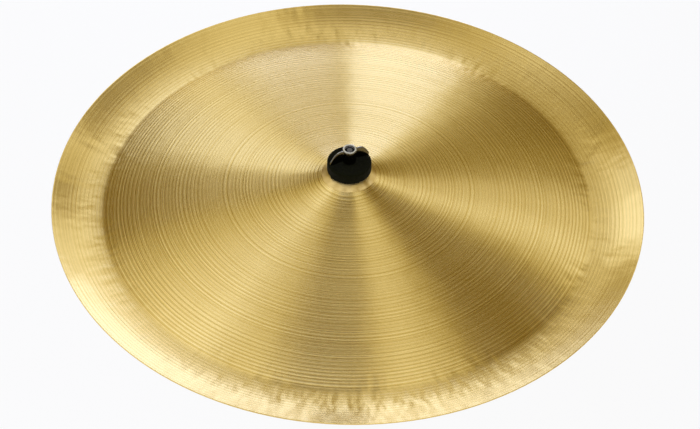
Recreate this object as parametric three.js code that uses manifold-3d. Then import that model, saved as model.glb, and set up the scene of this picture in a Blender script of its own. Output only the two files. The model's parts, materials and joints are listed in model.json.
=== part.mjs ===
// China cymbal, 20 inch, carried on the toothless tilter of a cymbal stand.
// Millimetres, +Z up. The origin is the centre of the stem's lower end, the cymbal's axis is Z.
// The tilt axis is X. The cymbal lies level, as it is stored and shown.

import * as THREE from 'three';
import { mergeVertices } from 'three/addons/utils/BufferGeometryUtils.js';
import Module from 'manifold-3d';

const wasm = await Module();
wasm.setup();

// Clearances and cuts
const seatGap = 0.3;
const overrun = 1;
const edgeBreak = 0.6;

// Cymbal: heights are counted from the plane of the rim's edge
const cymbalDiameter = 508;
const sheetThickness = 1;
const holeDiameter = 12;
const bellFlatRadius = 13;
const bellCreaseRadius = 23;
const bellTopHeight = 31.3;
const bellCreaseHeight = 27;
const creaseRadius = 209;
const creaseDepth = 10.2;
const creaseRound = 5;

// Felts, sleeve and seat
const feltDiameter = 38;
const upperFeltThickness = 10;
const lowerFeltThickness = 12;
const feltRound = 1.6;
const sleeveDiameter = 9.5;
const sleeveFlangeDiameter = 18;
const sleeveFlangeThickness = 2;
const sleeveSetback = 1.5;
const seatWasherDiameter = 36;
const seatWasherThickness = 1.5;
const seatWasherDrop = 1.2;

// Wing nut: heights are counted from its lower face
const nutHeight = 13.6;
const nutTopDiameter = 12.2;
const nutFootDiameter = 13.2;
const nutCountersink = 0.9;
const nutWingSpan = 36;
const nutWingThickness = 3;
const nutTurn = THREE.MathUtils.degToRad(25);

// Tilter rod
const rodDiameter = 6;
const rodShankDiameter = 8;
const rodCollarDiameter = 16;
const rodCollarHeight = 3;
const rodShankLength = 11;
const rodSetback = 1;
const rodEndChamfer = 0.8;

// Tilter head, the tongue that swings in the base
const headRadius = 13;
const headThickness = 10;
const headBossDiameter = 17;
const headBossHeight = 17;
const rodSocketDepth = 14;
const headClearance = 1.5;

// Tilter base, the fork on top of the stem
const earThickness = 5.5;
const earBaseWidth = 21;
const baseBossDiameter = 25;
const baseBossHeight = 21;
const baseFloor = 3.4;
const frictionWasherThickness = 1.2;
const frictionWasherDiameter = 24;

// Stem and the spring pins
const stemDiameter = 12.7;
const stemLength = 80;
const stemChamfer = 1;
const pinDiameter = 3;

// Wing bolt on the tilt axis, its lock washer and its nut
const boltDiameter = 8;
const boltHubDiameter = 14;
const boltHubHeight = 9;
const boltWingSpan = 40;
const boltWingHeight = 17;
const boltWingThickness = 4;
const boltTipLength = 2;
const lockWasherThickness = 2;
const lockWasherDiameter = 14.5;
const boltNutWidth = 13;
const boltNutThickness = 6.5;
const nutPocketDepth = 3;

// Facets
const cymbalFacets = 72;
const feltFacets = 32;
const roundFacets = 24;
const smallFacets = 16;
const wingSides = 12;

// Heights that follow from the sizes above, from the stem's lower end
const socketDepth = baseBossHeight - baseFloor;
const baseBottom = stemLength - socketDepth + seatGap;
const baseTop = baseBottom + baseBossHeight;
const pivotHeight = baseTop + headClearance + headRadius;
const headTop = headRadius + headClearance + headBossHeight;
const shoulderHeight = pivotHeight + headTop + rodShankLength + rodCollarHeight;

// Heights of the stack on the rod, from the rod's shoulder
const washerSeat = seatGap + sleeveFlangeThickness + seatGap;
const lowerFeltSeat = washerSeat + seatWasherThickness + seatGap;
const bellUnderside = lowerFeltSeat + lowerFeltThickness + seatGap;
const rimPlane = bellUnderside + sheetThickness - bellTopHeight;
const upperFeltSeat = rimPlane + bellTopHeight + seatGap;
const nutSeat = upperFeltSeat + upperFeltThickness + seatGap;
const rodTop = nutSeat + nutHeight - rodSetback;
const sleeveTop = upperFeltSeat + upperFeltThickness - sleeveSetback;

// Places along the tilt axis, from the cymbal's axis
const earInside = headThickness / 2 + frictionWasherThickness + 2 * seatGap;
const earOutside = earInside + earThickness;
const boltNutSeat = earOutside - nutPocketDepth + seatGap;
const boltNutOutside = boltNutSeat + boltNutThickness;
const boltHubSeat = earOutside + lockWasherThickness + 2 * seatGap;

// Turning the lathe's own axis, Y, into Z or into X moves whole coordinates, so nothing is rounded
const axisX = new THREE.Vector3(1, 0, 0);
const axisY = new THREE.Vector3(0, 1, 0);
const axisZ = new THREE.Vector3(0, 0, 1);
const toUpright = new THREE.Matrix4().makeBasis(axisY, axisZ, axisX);
const toTiltAxis = new THREE.Matrix4().makeBasis(axisZ, axisX, axisY);
const uprightToTiltAxis = new THREE.Matrix4().makeBasis(axisZ, axisY.clone().negate(), axisX);

const materials = {
  bronze: { color: 0xc8a860, roughness: 0.34, metalness: 1 },
  felt: { color: 0x0c0c0b, roughness: 1, metalness: 0 },
  nylon: { color: 0x17181a, roughness: 0.45, metalness: 0 },
  chrome: { color: 0xd9dbdd, roughness: 0.12, metalness: 1 },
  castChrome: { color: 0xc4c6c9, roughness: 0.24, metalness: 1 },
  steel: { color: 0xa9abad, roughness: 0.36, metalness: 1 },
  fibre: { color: 0x5a2a1c, roughness: 0.8, metalness: 0 },
};

function named(name, geometry, finish) {
  const mesh = new THREE.Mesh(geometry, new THREE.MeshStandardMaterial(materials[finish]));
  mesh.name = name;
  return mesh;
}

function at(object, x, y, z) {
  object.position.set(x, y, z);
  return object;
}

function point(radius, height) {
  return new THREE.Vector2(radius, height);
}

// A closed profile, listed from its foot outwards and up, turned about the chosen axis
function revolve(profile, facets, toAxis = toUpright) {
  const closed = profile[0].x === 0 ? profile : [...profile, profile[0]];
  return new THREE.LatheGeometry(closed, facets).applyMatrix4(toAxis);
}

// A disc or rod between two heights, with its rims broken
function rodProfile(radius, low, high, lowBreak, highBreak) {
  return [
    point(0, low), point(radius - lowBreak, low), point(radius, low + lowBreak),
    point(radius, high - highBreak), point(radius - highBreak, high), point(0, high),
  ];
}

function plainRod(radius, low, high, facets, toAxis) {
  return revolve([point(0, low), point(radius, low), point(radius, high), point(0, high)], facets, toAxis);
}

function toSolid(geometry) {
  const bare = geometry.clone();
  bare.deleteAttribute('normal');
  bare.deleteAttribute('uv');
  const welded = mergeVertices(bare);
  const kept = [];
  for (let i = 0; i < welded.index.count; i += 3) {
    const corners = [0, 1, 2].map((k) => welded.index.getX(i + k));
    if (new Set(corners).size === 3) kept.push(...corners);
  }
  const vertProperties = new Float32Array(welded.attributes.position.array);
  return new wasm.Manifold(new wasm.Mesh({ numProp: 3, vertProperties, triVerts: new Uint32Array(kept) }));
}

function fromSolid(solid) {
  const mesh = solid.getMesh();
  const geometry = new THREE.BufferGeometry();
  geometry.setAttribute('position', new THREE.BufferAttribute(mesh.vertProperties, 3));
  geometry.setIndex(new THREE.BufferAttribute(mesh.triVerts, 1));
  return geometry;
}

// Joins the first list of shapes and cuts the second list out of it
function carve(joined, cuts) {
  let solid = joined.map(toSolid).reduce((whole, piece) => whole.add(piece));
  for (const cut of cuts) solid = solid.subtract(toSolid(cut));
  return fromSolid(solid);
}

// A plate drawn in the Y-Z plane and given its thickness along X, from x = start
function plateAlongX(shape, start, thickness) {
  const options = { depth: thickness, bevelEnabled: false, curveSegments: smallFacets };
  const geometry = new THREE.ExtrudeGeometry(shape, options);
  return geometry.applyMatrix4(toUpright).translate(start, 0, 0);
}

// Cymbal: the sheet's upper surface from the hole to the rim

function curveThrough(start, startPull, endPull, end) {
  return new THREE.CubicBezierCurve(start, startPull, endPull, end);
}

function bellCurve() {
  const start = point(bellFlatRadius, bellTopHeight);
  const end = point(bellCreaseRadius, bellCreaseHeight);
  const run = end.x - start.x;
  const drop = start.y - end.y;
  const flatShare = 0.55;
  const shoulderShare = 0.76;
  const shoulderDropShare = 0.36;
  return curveThrough(
    start,
    point(start.x + flatShare * run, start.y),
    point(start.x + shoulderShare * run, start.y - shoulderDropShare * drop),
    end,
  );
}

// Steep beside the bell, nearly a straight cone over the middle, steeper again at the crease
function bowCurve() {
  const start = point(bellCreaseRadius, bellCreaseHeight);
  const end = point(creaseRadius, -creaseDepth);
  const run = end.x - start.x;
  const drop = start.y - end.y;
  const innerRunShare = 0.15;
  const innerDropShare = 0.38;
  const outerRunShare = 0.68;
  const outerDropShare = 0.45;
  return curveThrough(
    start,
    point(start.x + innerRunShare * run, start.y - innerDropShare * drop),
    point(start.x + outerRunShare * run, start.y - outerDropShare * drop),
    end,
  );
}

// The turned-up border, nearly level beside the crease and steepest at its edge
function flangeCurve() {
  const start = point(creaseRadius + creaseRound, -creaseDepth);
  const end = point(cymbalDiameter / 2 - sheetThickness / 2, 0);
  const run = end.x - start.x;
  const innerRiseShare = 0.16;
  const outerRiseShare = 0.53;
  const thirdShare = 1 / 3;
  return curveThrough(
    start,
    point(start.x + thirdShare * run, start.y + innerRiseShare * creaseDepth),
    point(end.x - thirdShare * run, start.y + outerRiseShare * creaseDepth),
    end,
  );
}

// The short valley that joins the bow to the border
function creaseCurve(bow, flange) {
  const bowSlope = bow.getTangent(1);
  const flangeSlope = flange.getTangent(0);
  const pull = creaseRound / 3;
  return curveThrough(
    point(creaseRadius, -creaseDepth),
    point(creaseRadius + pull * bowSlope.x, -creaseDepth + pull * bowSlope.y),
    point(creaseRadius + creaseRound - pull * flangeSlope.x, -creaseDepth - pull * flangeSlope.y),
    point(creaseRadius + creaseRound, -creaseDepth),
  );
}

function cymbalUpperLine() {
  const bow = bowCurve();
  const flange = flangeCurve();
  const stretches = [
    [new THREE.LineCurve(point(holeDiameter / 2, bellTopHeight), point(bellFlatRadius, bellTopHeight)), 1],
    [bellCurve(), 5], [bow, 9], [creaseCurve(bow, flange), 3], [flange, 4],
  ];
  const stations = [];
  for (const [curve, steps] of stretches) {
    const first = stations.length ? 1 : 0;
    for (let i = first; i <= steps; i += 1) {
      stations.push({ place: curve.getPoint(i / steps), along: curve.getTangent(i / steps) });
    }
  }
  return stations;
}

// The underside lies one sheet thickness below the upper surface, square to it
function cymbalLines() {
  const stations = cymbalUpperLine();
  const upper = stations.map(({ place }) => place);
  const lower = stations.map(({ place, along }) => point(
    place.x + sheetThickness * along.y,
    place.y - sheetThickness * along.x,
  ));
  return { upper, lower };
}

function cymbalGeometry() {
  const { upper, lower } = cymbalLines();
  const edge = upper[upper.length - 1].clone().lerp(lower[lower.length - 1], 1 / 2);
  edge.x = cymbalDiameter / 2;
  return revolve([...lower, edge, ...upper.reverse()], cymbalFacets);
}

// Felts, sleeve, seat and rod

function feltEdge(outer, height) {
  const half = feltRound * (1 - Math.SQRT1_2);
  return [
    point(outer - feltRound, height), point(outer - half, height + half),
    point(outer, height + feltRound),
  ];
}

function upperFeltGeometry() {
  const bore = sleeveDiameter / 2 + seatGap;
  const lowEdge = feltEdge(feltDiameter / 2, 0);
  const highEdge = lowEdge.map(({ x, y }) => point(x, upperFeltThickness - y)).reverse();
  return revolve([point(bore, 0), ...lowEdge, ...highEdge, point(bore, upperFeltThickness)], feltFacets);
}

// The bell presses the lower felt's upper face to its own shape
function lowerFeltGeometry() {
  const bore = sleeveDiameter / 2 + seatGap;
  const outer = feltDiameter / 2;
  const fromRimPlane = lowerFeltThickness - bellTopHeight + sheetThickness;
  const bell = cymbalLines().lower.map(({ x, y }) => point(x, y + fromRimPlane));
  const outside = bell.findIndex(({ x }) => x > outer);
  const inner = bell.slice(0, outside).filter(({ x }) => x > bore);
  const share = (outer - bell[outside - 1].x) / (bell[outside].x - bell[outside - 1].x);
  const corner = bell[outside - 1].clone().lerp(bell[outside], share);
  const pressed = [...inner, corner].reverse();
  const profile = [point(bore, 0), ...feltEdge(outer, 0), ...pressed, point(bore, lowerFeltThickness)];
  return revolve(profile, feltFacets);
}

function sleeveGeometry() {
  const bore = rodDiameter / 2 + seatGap;
  const wall = sleeveDiameter / 2;
  const flange = sleeveFlangeDiameter / 2;
  const flangeTop = seatGap + sleeveFlangeThickness;
  const profile = [
    point(bore, seatGap), point(flange, seatGap), point(flange, flangeTop - edgeBreak),
    point(flange - edgeBreak, flangeTop), point(wall, flangeTop),
    point(wall, sleeveTop - edgeBreak), point(wall - edgeBreak, sleeveTop), point(bore, sleeveTop),
  ];
  return revolve(profile, roundFacets);
}

// A dished washer: flat where the sleeve's flange carries it, turned down at its rim
function seatWasherGeometry() {
  const bore = sleeveDiameter / 2 + seatGap;
  const rim = seatWasherDiameter / 2;
  const flat = sleeveFlangeDiameter / 2 + seatGap;
  const middle = (flat + rim) / 2;
  const middleDrop = seatWasherDrop / 4;
  const top = seatWasherThickness;
  const profile = [
    point(bore, 0), point(flat, 0), point(middle, -middleDrop), point(rim, -seatWasherDrop),
    point(rim, top - seatWasherDrop), point(middle, top - middleDrop), point(flat, top), point(bore, top),
  ];
  return revolve(profile, feltFacets);
}

// The rod: its foot in the head's socket, a collar for the seat, then the thin threaded end
function rodGeometry() {
  const thin = rodDiameter / 2;
  const shank = rodShankDiameter / 2;
  const collar = rodCollarDiameter / 2;
  const foot = -rodCollarHeight - rodShankLength - rodSocketDepth + seatGap;
  const profile = [
    point(0, foot), point(shank - edgeBreak, foot), point(shank, foot + edgeBreak),
    point(shank, -rodCollarHeight), point(collar - edgeBreak, -rodCollarHeight),
    point(collar, edgeBreak - rodCollarHeight), point(collar, -edgeBreak), point(collar - edgeBreak, 0),
    point(thin, 0), point(thin, rodTop - rodEndChamfer), point(thin - rodEndChamfer, rodTop),
    point(0, rodTop),
  ];
  const hole = plainRod(pinDiameter / 2 + seatGap / 2, -collar, collar, smallFacets, toTiltAxis);
  const pinHeight = rodSocketDepth / 2 - rodSocketDepth - rodShankLength - rodCollarHeight;
  return carve([revolve(profile, roundFacets)], [hole.translate(0, 0, pinHeight)]);
}

// Wings: a blade lofted along its reach, from oval sections that narrow to a rounded end.
// Each row of shares holds a section's place along the reach, its lower and upper edge as shares
// of the height, and its thickness as a share of the wing's.

const nutWingShares = [
  [0.1, 0.18, 0.93, 1], [0.32, 0.14, 0.97, 1], [0.5, 0.1, 0.96, 0.94], [0.63, 0.06, 0.92, 0.9],
  [0.74, 0.04, 0.81, 0.9], [0.84, 0.03, 0.64, 0.95], [0.92, 0.04, 0.46, 1], [0.975, 0.08, 0.33, 0.75],
  [1, 0.15, 0.25, 0.3],
];

const boltWingShares = [
  [0.1, 0.1, 0.4, 1], [0.3, 0.1, 0.42, 1], [0.45, 0.12, 0.56, 0.9], [0.6, 0.18, 0.76, 0.85],
  [0.76, 0.3, 0.93, 0.9], [0.88, 0.42, 0.99, 1], [0.96, 0.55, 0.96, 0.85], [1, 0.68, 0.84, 0.4],
];

// The blade reaches along +X, its height is along Z and its thickness along Y
function wingGeometry(reach, height, thickness, shares) {
  const places = [];
  for (const [alongShare, lowShare, highShare, thickShare] of shares) {
    const middle = height * (lowShare + highShare) / 2;
    const halfHeight = height * (highShare - lowShare) / 2;
    for (let side = 0; side < wingSides; side += 1) {
      const turn = 2 * Math.PI * side / wingSides;
      places.push(
        reach * alongShare,
        thickness * thickShare / 2 * Math.cos(turn),
        middle + halfHeight * Math.sin(turn),
      );
    }
  }
  const index = [];
  const last = (shares.length - 1) * wingSides;
  for (let side = 0; side < wingSides; side += 1) {
    const next = (side + 1) % wingSides;
    for (let row = 0; row < last; row += wingSides) {
      index.push(row + side, row + next, row + wingSides + side);
      index.push(row + next, row + wingSides + next, row + wingSides + side);
    }
    if (side > 1) {
      index.push(0, side, side - 1);
      index.push(last, last + side - 1, last + side);
    }
  }
  const geometry = new THREE.BufferGeometry();
  geometry.setAttribute('position', new THREE.BufferAttribute(new Float32Array(places), 3));
  geometry.setIndex(index);
  return geometry;
}

function bothWings(reach, height, thickness, shares) {
  const wing = wingGeometry(reach, height, thickness, shares);
  return [wing, wing.clone().rotateZ(Math.PI)];
}

function wingNutGeometry() {
  const top = nutTopDiameter / 2;
  const foot = nutFootDiameter / 2;
  const bore = rodDiameter / 2 + seatGap;
  const boss = revolve([
    point(0, 0), point(foot - edgeBreak, 0), point(foot, edgeBreak), point(top, nutHeight - edgeBreak),
    point(top - edgeBreak, nutHeight), point(0, nutHeight),
  ], roundFacets);
  const thread = revolve([
    point(0, -overrun), point(bore, -overrun), point(bore, nutHeight - nutCountersink),
    point(bore + nutCountersink + overrun, nutHeight + overrun), point(0, nutHeight + overrun),
  ], roundFacets);
  const wings = bothWings(nutWingSpan / 2, nutHeight, nutWingThickness, nutWingShares);
  return carve([boss, ...wings], [thread]).rotateZ(nutTurn);
}

// Tilter head: a round tongue on the tilt axis, a neck and the socket for the rod

function headGeometry() {
  const boss = headBossDiameter / 2;
  const bossFoot = headTop - headBossHeight;
  const tongue = new THREE.Shape();
  tongue.moveTo(-boss, 0);
  tongue.absarc(0, 0, headRadius, Math.PI, 2 * Math.PI, false);
  tongue.lineTo(headRadius, 0);
  tongue.absarc(0, 0, headRadius, 0, Math.acos(boss / headRadius), false);
  tongue.lineTo(boss, bossFoot + boss);
  tongue.lineTo(-boss, bossFoot + boss);
  tongue.absarc(0, 0, headRadius, Math.PI - Math.acos(boss / headRadius), Math.PI, false);
  const plate = plateAlongX(tongue, -headThickness / 2, headThickness);
  const socketBoss = revolve([
    point(0, bossFoot), point(headThickness / 2, bossFoot), point(boss, bossFoot + boss - headThickness / 2),
    point(boss, headTop - edgeBreak), point(boss - edgeBreak, headTop), point(0, headTop),
  ], roundFacets);
  const bolt = plainRod(boltDiameter / 2 + seatGap, -headThickness, headThickness, smallFacets, toTiltAxis);
  const socketFloor = headTop - rodSocketDepth;
  const socket = plainRod(rodShankDiameter / 2 + seatGap, socketFloor, headTop + overrun, roundFacets);
  const pin = plainRod(pinDiameter / 2 + seatGap / 2, -headRadius, headRadius, smallFacets, toTiltAxis);
  const pinHeight = headTop - rodSocketDepth / 2;
  return carve([plate, socketBoss], [bolt, socket, pin.translate(0, 0, pinHeight)]);
}

// Tilter base: two round ears over a socket for the stem, with a pocket for the bolt's nut

function earShape() {
  const half = earBaseWidth / 2;
  const low = baseTop - pivotHeight - baseBossHeight / 2;
  const shape = new THREE.Shape();
  shape.moveTo(-half, low);
  shape.lineTo(half, low);
  shape.lineTo(headRadius, 0);
  shape.absarc(0, 0, headRadius, 0, Math.PI, false);
  shape.lineTo(-half, low);
  return shape;
}

function hexagon(width, start, length) {
  const corner = width / Math.sqrt(3);
  return plainRod(corner, start, start + length, 6, toTiltAxis);
}

function baseGeometry() {
  const bottom = baseBottom - pivotHeight;
  const top = baseTop - pivotHeight;
  const boss = baseBossDiameter / 2;
  const body = revolve(rodProfile(boss, bottom, top, 2 * edgeBreak, edgeBreak), roundFacets);
  const ears = [-earOutside, earInside].map((start) => plateAlongX(earShape(), start, earThickness));
  const socket = plainRod(stemDiameter / 2 + seatGap, bottom - overrun, bottom + socketDepth, roundFacets);
  const reach = boss + overrun;
  const bolt = plainRod(boltDiameter / 2 + seatGap, -reach, reach, smallFacets, toTiltAxis);
  const pocket = hexagon(boltNutWidth + 2 * seatGap, -earOutside - overrun, nutPocketDepth + overrun);
  const pin = plainRod(pinDiameter / 2 + seatGap / 2, -reach, reach, smallFacets, toTiltAxis);
  return carve([body, ...ears], [socket, bolt, pocket, pin.translate(0, 0, bottom + socketDepth / 2)]);
}

function stemGeometry() {
  const radius = stemDiameter / 2;
  const body = revolve(rodProfile(radius, 0, stemLength, stemChamfer, stemChamfer), roundFacets);
  const hole = plainRod(pinDiameter / 2 + seatGap / 2, -stemDiameter, stemDiameter, smallFacets, toTiltAxis);
  return carve([body], [hole.translate(0, 0, baseBottom + socketDepth / 2)]);
}

function pinGeometry(length) {
  const profile = rodProfile(pinDiameter / 2, -length / 2, length / 2, edgeBreak, edgeBreak);
  return revolve(profile, smallFacets, toTiltAxis);
}

// Wing bolt, lock washer, friction washers and nut on the tilt axis

function washerGeometry(diameter, thickness) {
  const bore = boltDiameter / 2 + seatGap;
  const profile = [
    point(bore, 0), point(diameter / 2, 0), point(diameter / 2, thickness), point(bore, thickness),
  ];
  return revolve(profile, roundFacets, toTiltAxis);
}

function wingBoltGeometry() {
  const hub = boltHubDiameter / 2;
  const shank = boltDiameter / 2;
  const foot = boltHubSeat;
  const tip = -boltNutOutside - boltTipLength;
  const top = foot + boltHubHeight;
  const core = revolve([
    point(0, tip), point(shank - edgeBreak, tip), point(shank, tip + edgeBreak), point(shank, foot),
    point(hub - edgeBreak, foot), point(hub, foot + edgeBreak), point(hub, foot + boltHubHeight / 2),
    point(shank, top), point(0, top),
  ], roundFacets, toTiltAxis);
  const wings = bothWings(boltWingSpan / 2, boltWingHeight, boltWingThickness, boltWingShares);
  const upright = wings.map((wing) => wing.applyMatrix4(uprightToTiltAxis).translate(foot, 0, 0));
  return carve([core, ...upright], []);
}

function boltNutGeometry() {
  const radius = boltDiameter / 2 + seatGap;
  const bore = plainRod(radius, -overrun, boltNutThickness + overrun, smallFacets, toTiltAxis);
  return carve([hexagon(boltNutWidth, 0, boltNutThickness)], [bore]);
}

// The assembly: what stands on the stem, what lies on the tilt axis, what is stacked on the rod

function stemGroup() {
  const group = new THREE.Group();
  const pinHeight = baseBottom + socketDepth / 2;
  const pinLength = baseBossDiameter - 2 * edgeBreak;
  group.add(named('stem', stemGeometry(), 'chrome'));
  group.add(at(named('tilter_base', baseGeometry(), 'castChrome'), 0, 0, pivotHeight));
  group.add(at(named('stem_pin', pinGeometry(pinLength), 'steel'), 0, 0, pinHeight));
  return group;
}

function tiltAxisGroup() {
  const group = at(new THREE.Group(), 0, 0, pivotHeight);
  const friction = washerGeometry(frictionWasherDiameter, frictionWasherThickness);
  const rightSeat = headThickness / 2 + seatGap;
  const leftSeat = -rightSeat - frictionWasherThickness;
  const lock = washerGeometry(lockWasherDiameter, lockWasherThickness);
  const pinLength = headBossDiameter - 2 * edgeBreak;
  group.add(named('tilter_head', headGeometry(), 'castChrome'));
  group.add(at(named('rod_pin', pinGeometry(pinLength), 'steel'), 0, 0, headTop - rodSocketDepth / 2));
  group.add(at(named('friction_washer_right', friction, 'fibre'), rightSeat, 0, 0));
  group.add(at(named('friction_washer_left', friction, 'fibre'), leftSeat, 0, 0));
  group.add(at(named('lock_washer', lock, 'steel'), earOutside + seatGap, 0, 0));
  group.add(named('wing_bolt', wingBoltGeometry(), 'castChrome'));
  group.add(at(named('bolt_nut', boltNutGeometry(), 'steel'), -boltNutOutside, 0, 0));
  return group;
}

function rodGroup() {
  const group = at(new THREE.Group(), 0, 0, shoulderHeight);
  group.add(named('tilter_rod', rodGeometry(), 'chrome'));
  group.add(named('sleeve', sleeveGeometry(), 'nylon'));
  group.add(at(named('seat_washer', seatWasherGeometry(), 'steel'), 0, 0, washerSeat));
  group.add(at(named('lower_felt', lowerFeltGeometry(), 'felt'), 0, 0, lowerFeltSeat));
  group.add(at(named('cymbal', cymbalGeometry(), 'bronze'), 0, 0, rimPlane));
  group.add(at(named('upper_felt', upperFeltGeometry(), 'felt'), 0, 0, upperFeltSeat));
  group.add(at(named('wing_nut', wingNutGeometry(), 'chrome'), 0, 0, nutSeat));
  return group;
}

const part = new THREE.Group();
part.add(stemGroup(), tiltAxisGroup(), rodGroup());

export default part;
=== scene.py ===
# %% [markdown]
# # A china cymbal on its tilter
# A china cymbal is one sheet of bronze, hammered, then turned on a lathe. Its bell is small, its bow
# runs out nearly straight, and past a crisp crease the border turns up. Felts and a wing nut hold it
# on a tilting rod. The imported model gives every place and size; this scene gives the real surfaces.

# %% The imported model
import json
import math

import bpy
import bmesh
from mathutils import Matrix, Vector, noise
from mathutils.geometry import interpolate_bezier


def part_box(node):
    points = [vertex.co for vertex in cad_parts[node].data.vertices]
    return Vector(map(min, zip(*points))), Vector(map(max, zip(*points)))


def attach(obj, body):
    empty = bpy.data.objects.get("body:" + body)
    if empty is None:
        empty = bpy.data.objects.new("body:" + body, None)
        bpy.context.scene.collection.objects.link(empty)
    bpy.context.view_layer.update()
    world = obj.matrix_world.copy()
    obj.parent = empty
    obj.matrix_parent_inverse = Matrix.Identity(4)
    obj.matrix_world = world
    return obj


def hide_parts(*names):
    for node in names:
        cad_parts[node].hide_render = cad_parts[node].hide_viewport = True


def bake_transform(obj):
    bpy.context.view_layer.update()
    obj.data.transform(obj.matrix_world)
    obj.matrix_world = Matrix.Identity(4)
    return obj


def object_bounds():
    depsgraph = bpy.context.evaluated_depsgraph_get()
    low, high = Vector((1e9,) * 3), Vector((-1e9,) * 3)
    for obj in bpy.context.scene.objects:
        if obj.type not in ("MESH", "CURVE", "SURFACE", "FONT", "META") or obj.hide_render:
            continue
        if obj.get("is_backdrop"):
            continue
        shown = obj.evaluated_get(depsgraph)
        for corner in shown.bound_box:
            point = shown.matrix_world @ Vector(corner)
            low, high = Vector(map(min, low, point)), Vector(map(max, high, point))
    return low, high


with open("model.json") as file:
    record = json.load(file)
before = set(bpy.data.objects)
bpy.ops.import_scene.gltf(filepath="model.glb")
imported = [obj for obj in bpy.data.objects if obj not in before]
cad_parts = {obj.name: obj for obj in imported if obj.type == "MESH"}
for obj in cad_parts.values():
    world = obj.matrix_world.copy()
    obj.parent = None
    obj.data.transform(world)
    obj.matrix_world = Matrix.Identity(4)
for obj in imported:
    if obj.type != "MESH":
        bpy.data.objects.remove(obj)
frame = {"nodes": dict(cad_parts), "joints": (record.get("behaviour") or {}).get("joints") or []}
cad_low, cad_high = (corner.copy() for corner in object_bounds())
MM = 0.001
print("nodes", len(frame["nodes"]), "size", [round(side, 4) for side in cad_high - cad_low])

# %% [markdown]
# ## The camera
# The cymbal's rim is a flat circle, so the ellipse it makes in the photograph gives the camera's
# height and roll, in degrees, and its distance in metres. Sizes of pieces are in millimetres, and
# the cymbal's own heights are counted from the plane of its rim.

# %% The camera
BELL_TOP = 31.3
CAMERA_HEIGHT, CAMERA_ROLL, CAMERA_DISTANCE = 45.30, 1.81, 2.0
CAMERA_LENS, CAMERA_SENSOR = 119.64, 36
AIM_ALONG, AIM_UP = 0.00197, -0.01619
rim_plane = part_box("cymbal")[1].z - BELL_TOP * MM
rim_centre = Vector((0, 0, rim_plane))

camera_height = math.radians(CAMERA_HEIGHT)
camera_roll = math.radians(CAMERA_ROLL)
camera_back = Vector((0, -math.cos(camera_height), math.sin(camera_height)))
level = Vector((1, 0, 0))
upward = Vector((0, math.sin(camera_height), math.cos(camera_height)))
aim = rim_centre + level * AIM_ALONG + upward * AIM_UP
side_axis = level * math.cos(camera_roll) + upward * math.sin(camera_roll)
top_axis = upward * math.cos(camera_roll) - level * math.sin(camera_roll)

camera_data = bpy.data.cameras.new("camera")
camera_data.lens = CAMERA_LENS
camera_data.sensor_width = CAMERA_SENSOR
camera_data.clip_start = 0.05
camera_data.clip_end = 60
camera = bpy.data.objects.new("camera", camera_data)
camera.matrix_world = Matrix.Translation(aim + camera_back * CAMERA_DISTANCE) @ Matrix(
    (side_axis, top_axis, camera_back)).transposed().to_4x4()
bpy.context.scene.collection.objects.link(camera)
bpy.context.scene.camera = camera
bpy.context.scene.view_settings.view_transform = "Standard"
print("rim plane", round(rim_plane, 4), "camera", [round(value, 3) for value in camera.location])

# %% [markdown]
# ## Small tools for nodes
# A finish is a tree of nodes. Small helpers keep the trees short: they start a finish, add a node
# and fill its settings and sockets, do sums, and fade or blend values. A value that is the same all
# over a surface is written straight on the shader's socket.

# %% Node tools
def add_node(tree, kind, sockets=None, **settings):
    node = tree.nodes.new(kind)
    for name, value in settings.items():
        setattr(node, name, value)
    for name, value in (sockets or {}).items():
        if isinstance(value, bpy.types.NodeSocket):
            tree.links.new(value, node.inputs[name])
        else:
            node.inputs[name].default_value = value
    return node


def new_finish(name, sockets=None):
    finish = bpy.data.materials.new(name)
    finish.use_nodes = True
    shader = finish.node_tree.nodes["Principled BSDF"]
    for socket, value in (sockets or {}).items():
        shader.inputs[socket].default_value = value
    return finish, finish.node_tree, shader


def sum_up(tree, operation, *values):
    return add_node(tree, "ShaderNodeMath", dict(enumerate(values)), operation=operation).outputs[0]


def fade(tree, value, start, end, low=0.0, high=1.0):
    node = add_node(
        tree, "ShaderNodeMapRange",
        {"Value": value, "From Min": start, "From Max": end, "To Min": low, "To Max": high},
        interpolation_type="SMOOTHSTEP")
    return node.outputs["Result"]


def blend_colour(tree, share, first, second):
    node = add_node(tree, "ShaderNodeMix", data_type="RGBA")
    for socket, value in zip((node.inputs[0], node.inputs[6], node.inputs[7]), (share, first, second)):
        if isinstance(value, bpy.types.NodeSocket):
            tree.links.new(value, socket)
        else:
            socket.default_value = value
    return node.outputs[2]


def grain(tree, place, scale, detail=2.0, roughness=0.5, kind="3D"):
    where = "W" if kind == "1D" else "Vector"
    node = add_node(
        tree, "ShaderNodeTexNoise",
        {where: place, "Scale": scale, "Detail": detail, "Roughness": roughness},
        noise_dimensions=kind)
    return node.outputs["Fac"]


def from_axis(tree, place):
    """The way out from the axis to a place, and how long it is."""
    out = add_node(tree, "ShaderNodeVectorMath", {0: place, 1: (1, 1, 0)}, operation="MULTIPLY").outputs[0]
    return out, add_node(tree, "ShaderNodeVectorMath", {0: out}, operation="LENGTH").outputs["Value"]


RED_POWER, DIM_BLUE_POWER, BRIGHT_BLUE_POWER = 0.82, 1.9, 1.65


def tinted(tree, light):
    """Bright light a little cool, dim light warm, as between pale cloth and bare bronze."""
    dim_blue = sum_up(tree, "POWER", light, DIM_BLUE_POWER)
    blue = sum_up(tree, "MINIMUM", dim_blue, sum_up(tree, "POWER", light, BRIGHT_BLUE_POWER))
    parts = {"Red": sum_up(tree, "POWER", light, RED_POWER), "Green": light, "Blue": blue}
    return add_node(tree, "ShaderNodeCombineColor", parts).outputs["Color"]


def seen_directly(tree):
    rays = add_node(tree, "ShaderNodeLightPath").outputs
    seen = sum_up(tree, "MAXIMUM", rays["Is Camera Ray"], rays["Is Glossy Ray"])
    return sum_up(tree, "MAXIMUM", seen, rays["Is Transmission Ray"])


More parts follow.
